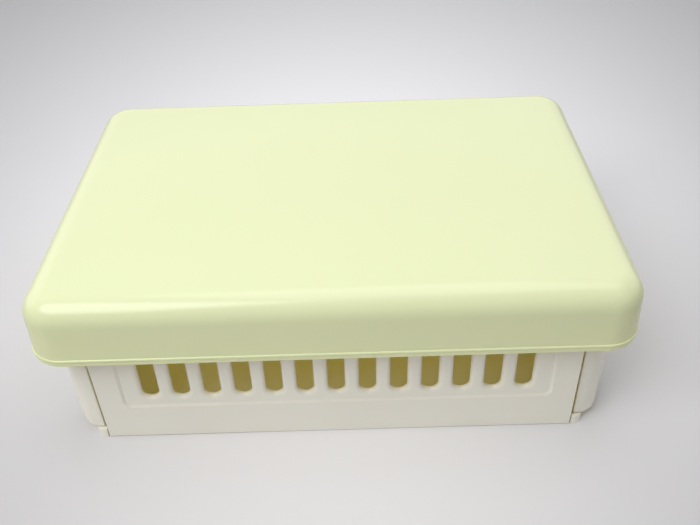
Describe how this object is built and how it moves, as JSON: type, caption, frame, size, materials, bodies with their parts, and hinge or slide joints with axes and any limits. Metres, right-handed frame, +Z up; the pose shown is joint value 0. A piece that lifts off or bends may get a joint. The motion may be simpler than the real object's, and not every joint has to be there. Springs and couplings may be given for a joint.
{
  "type": "folding storage basket",
  "caption": "Small slotted folding storage basket with rounded corner columns, closed by a lift-off box lid with a beaded rim.",
  "frame": {"origin": "centre of the base's underside, on the surface the basket stands on", "axes": "+X along the length towards the right end wall, +Y across the width towards the back panel, +Z up"},
  "size_m": [0.218, 0.152, 0.0715],
  "materials": {
    "base_plastic": "off-white polypropylene, moulded gloss",
    "panel_plastic": "off-white polypropylene, moulded gloss",
    "end_wall_plastic": "off-white polypropylene, moulded gloss",
    "lid_plastic": "pale yellow-green polypropylene, gloss, slightly translucent"
  },
  "bodies": {
    "base": {"base": "base_plastic"},
    "front_panel": {"front_panel": "panel_plastic"},
    "back_panel": {"back_panel": "panel_plastic"},
    "left_end_wall": {"left_end_wall": "end_wall_plastic"},
    "right_end_wall": {"right_end_wall": "end_wall_plastic"},
    "lid": {"lid": "lid_plastic", "lid_ribs": "lid_plastic"}
  },
  "joints": [
    {"name": "lid_lift", "type": "slide", "parent": "base", "child": "lid", "axis": [0, 0, 1], "range_m": [0, 0.08]},
    {"name": "front_fold", "type": "hinge", "parent": "base", "child": "front_panel", "pos_m": [0, -0.0652, 0.0024], "axis": [-1, 0, 0], "range_deg": [0, 90]},
    {"name": "back_fold", "type": "hinge", "parent": "base", "child": "back_panel", "pos_m": [0, 0.0652, 0.0024], "axis": [1, 0, 0], "range_deg": [0, 90]},
    {"name": "right_fold", "type": "hinge", "parent": "base", "child": "right_end_wall", "pos_m": [0.0928, 0, 0.0086], "axis": [0, -1, 0], "range_deg": [0, 90]},
    {"name": "left_fold", "type": "hinge", "parent": "base", "child": "left_end_wall", "pos_m": [-0.0928, 0, 0.0086], "axis": [0, 1, 0], "range_deg": [0, 90]}
  ]
}
